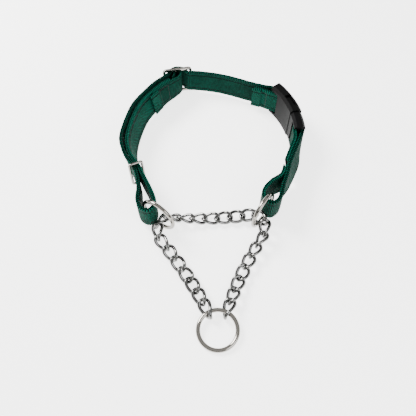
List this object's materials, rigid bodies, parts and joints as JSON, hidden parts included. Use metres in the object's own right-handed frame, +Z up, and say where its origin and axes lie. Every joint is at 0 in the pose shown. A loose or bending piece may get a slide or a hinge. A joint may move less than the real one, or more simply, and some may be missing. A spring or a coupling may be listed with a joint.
{
  "type": "martingale dog collar",
  "caption": "Martingale collar of doubled webbing with a side-release buckle, a metal slider and keeper, and a twisted curb chain run through strap rings to a leash ring.",
  "frame": {"origin": "middle of the collar's box seen from above, on the surface it stands on", "axes": "+Z up across the width of the webbing, +Y from the leash ring to the far side of the neck opening, +X to the right of that, towards the buckle"},
  "size_m": [0.183, 0.3024, 0.037],
  "materials": {
    "webbing": "woven nylon, dark emerald green",
    "ring_steel": "nickel plated, polished",
    "chain_steel": "nickel plated, polished",
    "buckle_plastic": "moulded black, satin"
  },
  "bodies": {
    "collar": {"long_strap": "webbing", "long_strap_lining": "webbing", "short_strap": "webbing", "short_strap_lining": "webbing", "slider_fold": "webbing", "buckle_socket": "buckle_plastic", "socket_bar": "buckle_plastic", "buckle_plug": "buckle_plastic", "plug_bar": "buckle_plastic", "plug_tongue": "buckle_plastic"},
    "arm_top": {"latch_arm_top": "buckle_plastic"},
    "arm_bottom": {"latch_arm_bottom": "buckle_plastic"},
    "slider": {"slider": "ring_steel", "slider_bar": "ring_steel"},
    "keeper": {"keeper": "ring_steel"},
    "left_ring": {"left_ring": "ring_steel"},
    "right_ring": {"right_ring": "ring_steel"},
    "leash_ring": {"leash_ring": "ring_steel"},
    "left_corner": {"left_corner_link": "chain_steel"},
    "right_corner": {"right_corner_link": "chain_steel"},
    "left_1": {"left_link_1": "chain_steel"},
    "right_1": {"right_link_1": "chain_steel"},
    "left_2": {"left_link_2": "chain_steel"},
    "right_2": {"right_link_2": "chain_steel"},
    "left_3": {"left_link_3": "chain_steel"},
    "right_3": {"right_link_3": "chain_steel"},
    "left_4": {"left_link_4": "chain_steel"},
    "right_4": {"right_link_4": "chain_steel"},
    "left_5": {"left_link_5": "chain_steel"},
    "right_5": {"right_link_5": "chain_steel"},
    "left_6": {"left_link_6": "chain_steel"},
    "right_6": {"right_link_6": "chain_steel"},
    "left_7": {"left_link_7": "chain_steel"},
    "right_7": {"right_link_7": "chain_steel"},
    "left_8": {"left_link_8": "chain_steel"},
    "right_8": {"right_link_8": "chain_steel"},
    "span_1": {"span_link_1": "chain_steel"},
    "span_2": {"span_link_2": "chain_steel"},
    "span_3": {"span_link_3": "chain_steel"},
    "span_4": {"span_link_4": "chain_steel"},
    "span_5": {"span_link_5": "chain_steel"},
    "span_6": {"span_link_6": "chain_steel"},
    "span_7": {"span_link_7": "chain_steel"}
  },
  "joints": [
    {"name": "latch_arm_top_squeeze", "type": "hinge", "parent": "collar", "child": "arm_top", "pos_m": [0.08276, 0.07813, 0.0295], "axis": [0.9736, 0.2284, 0], "range_deg": [-6, 0], "stiffness_Nm_per_rad": 0.3},
    {"name": "latch_arm_bottom_squeeze", "type": "hinge", "parent": "collar", "child": "arm_bottom", "pos_m": [0.08276, 0.07813, 0.0075], "axis": [0.9736, 0.2284, 0], "range_deg": [0, 6], "stiffness_Nm_per_rad": 0.3},
    {"name": "slider_rock", "type": "hinge", "parent": "collar", "child": "slider", "pos_m": [-0.03793, 0.14294, 0.016], "axis": [0, 0, 1], "range_deg": [-2, 1]},
    {"name": "keeper_slide", "type": "slide", "parent": "collar", "child": "keeper", "axis": [0.4462, -0.8949, 0], "range_m": [-0.003, 0.003]},
    {"name": "left_ring_turn", "type": "hinge", "parent": "collar", "child": "left_ring", "pos_m": [-0.06215, -0.02437, 0.018], "axis": [0, 0, 1], "range_deg": [-3, 3]},
    {"name": "right_ring_turn", "type": "hinge", "parent": "collar", "child": "right_ring", "pos_m": [0.05454, -0.01567, 0.018], "axis": [0, 0, 1], "range_deg": [-1, 2]},
    {"name": "chain_lift", "type": "hinge", "parent": "collar", "child": "left_corner", "pos_m": [-0.04293, -0.03056, 0.0099], "axis": [-0.9993, -0.0364, 0], "range_deg": [0, 20]},
    {"name": "left_play_1", "type": "hinge", "parent": "left_corner", "child": "left_1", "pos_m": [-0.05048, -0.03989, 0.0099], "axis": [0, 0, 1], "range_deg": [-0.304, 0.304]},
    {"name": "left_play_2", "type": "hinge", "parent": "left_1", "child": "left_2", "pos_m": [-0.04862, -0.05164, 0.0082], "axis": [0, 0, -1], "range_deg": [-0.345, 0.345]},
    {"name": "left_play_3", "type": "hinge", "parent": "left_2", "child": "left_3", "pos_m": [-0.04091, -0.0608, 0.0064], "axis": [0, 0, 1], "range_deg": [-0.402, 0.402]},
    {"name": "left_play_4", "type": "hinge", "parent": "left_3", "child": "left_4", "pos_m": [-0.03362, -0.07022, 0.0049], "axis": [0, 0, -1], "range_deg": [-0.482, 0.482]},
    {"name": "left_play_5", "type": "hinge", "parent": "left_4", "child": "left_5", "pos_m": [-0.02674, -0.07991, 0.004], "axis": [0, 0, 1], "range_deg": [-0.6, 0.6]},
    {"name": "left_play_6", "type": "hinge", "parent": "left_5", "child": "left_6", "pos_m": [-0.02026, -0.08987, 0.0036], "axis": [0, 0, -1], "range_deg": [-0.8, 0.8]},
    {"name": "left_play_7", "type": "hinge", "parent": "left_6", "child": "left_7", "pos_m": [-0.0142, -0.1001, 0.0041], "axis": [0, 0, 1], "range_deg": [-1.2, 1.2]},
    {"name": "left_play_8", "type": "hinge", "parent": "left_7", "child": "left_8", "pos_m": [-0.00855, -0.11059, 0.0046], "axis": [0, 0, -1], "range_deg": [-2.39, 2.39]},
    {"name": "span_play_1", "type": "hinge", "parent": "left_corner", "child": "span_1", "pos_m": [-0.04293, -0.03056, 0.0099], "axis": [0, 0, 1], "range_deg": [-0.136, 0.136]},
    {"name": "span_play_2", "type": "hinge", "parent": "span_1", "child": "span_2", "pos_m": [-0.03117, -0.03013, 0.0066], "axis": [0, 0, -1], "range_deg": [-0.143, 0.143]},
    {"name": "span_play_3", "type": "hinge", "parent": "span_2", "child": "span_3", "pos_m": [-0.01942, -0.0297, 0.005], "axis": [0, 0, 1], "range_deg": [-0.149, 0.149]},
    {"name": "span_play_4", "type": "hinge", "parent": "span_3", "child": "span_4", "pos_m": [-0.00766, -0.02927, 0.0039], "axis": [0, 0, -1], "range_deg": [-0.153, 0.153]},
    {"name": "span_play_5", "type": "hinge", "parent": "span_4", "child": "span_5", "pos_m": [0.0041, -0.02885, 0.0039], "axis": [0, 0, 1], "range_deg": [-0.154, 0.154]},
    {"name": "span_play_6", "type": "hinge", "parent": "span_5", "child": "span_6", "pos_m": [0.01586, -0.02842, 0.005], "axis": [0, 0, -1], "range_deg": [-0.154, 0.154]},
    {"name": "span_play_7", "type": "hinge", "parent": "span_6", "child": "span_7", "pos_m": [0.02761, -0.02799, 0.0066], "axis": [0, 0, 1], "range_deg": [-0.151, 0.151]},
    {"name": "right_corner_turn", "type": "hinge", "parent": "span_7", "child": "right_corner", "pos_m": [0.03937, -0.02756, 0.0099], "axis": [0, 0, 1], "range_deg": [-0.3, 0.3]},
    {"name": "right_play_1", "type": "hinge", "parent": "right_corner", "child": "right_1", "pos_m": [0.04755, -0.03634, 0.0099], "axis": [0, 0, 1], "range_deg": [-0.309, 0.309]},
    {"name": "right_play_2", "type": "hinge", "parent": "right_1", "child": "right_2", "pos_m": [0.0461, -0.04815, 0.0082], "axis": [0, 0, -1], "range_deg": [-0.352, 0.352]},
    {"name": "right_play_3", "type": "hinge", "parent": "right_2", "child": "right_3", "pos_m": [0.03969, -0.05796, 0.0064], "axis": [0, 0, 1], "range_deg": [-0.41, 0.41]},
    {"name": "right_play_4", "type": "hinge", "parent": "right_3", "child": "right_4", "pos_m": [0.03371, -0.06799, 0.0049], "axis": [0, 0, -1], "range_deg": [-0.492, 0.492]},
    {"name": "right_play_5", "type": "hinge", "parent": "right_4", "child": "right_5", "pos_m": [0.02818, -0.07823, 0.004], "axis": [0, 0, 1], "range_deg": [-0.61, 0.61]},
    {"name": "right_play_6", "type": "hinge", "parent": "right_5", "child": "right_6", "pos_m": [0.02309, -0.08869, 0.0036], "axis": [0, 0, -1], "range_deg": [-0.82, 0.82]},
    {"name": "right_play_7", "type": "hinge", "parent": "right_6", "child": "right_7", "pos_m": [0.01843, -0.09936, 0.0041], "axis": [0, 0, 1], "range_deg": [-1.23, 1.23]},
    {"name": "right_play_8", "type": "hinge", "parent": "right_7", "child": "right_8", "pos_m": [0.01422, -0.11025, 0.0046], "axis": [0, 0, -1], "range_deg": [-2.44, 2.44]},
    {"name": "leash_ring_lift", "type": "hinge", "parent": "left_8", "child": "leash_ring", "pos_m": [0.00357, -0.1193, 0.00514], "axis": [1, 0, 0], "range_deg": [-8, 0]}
  ]
}
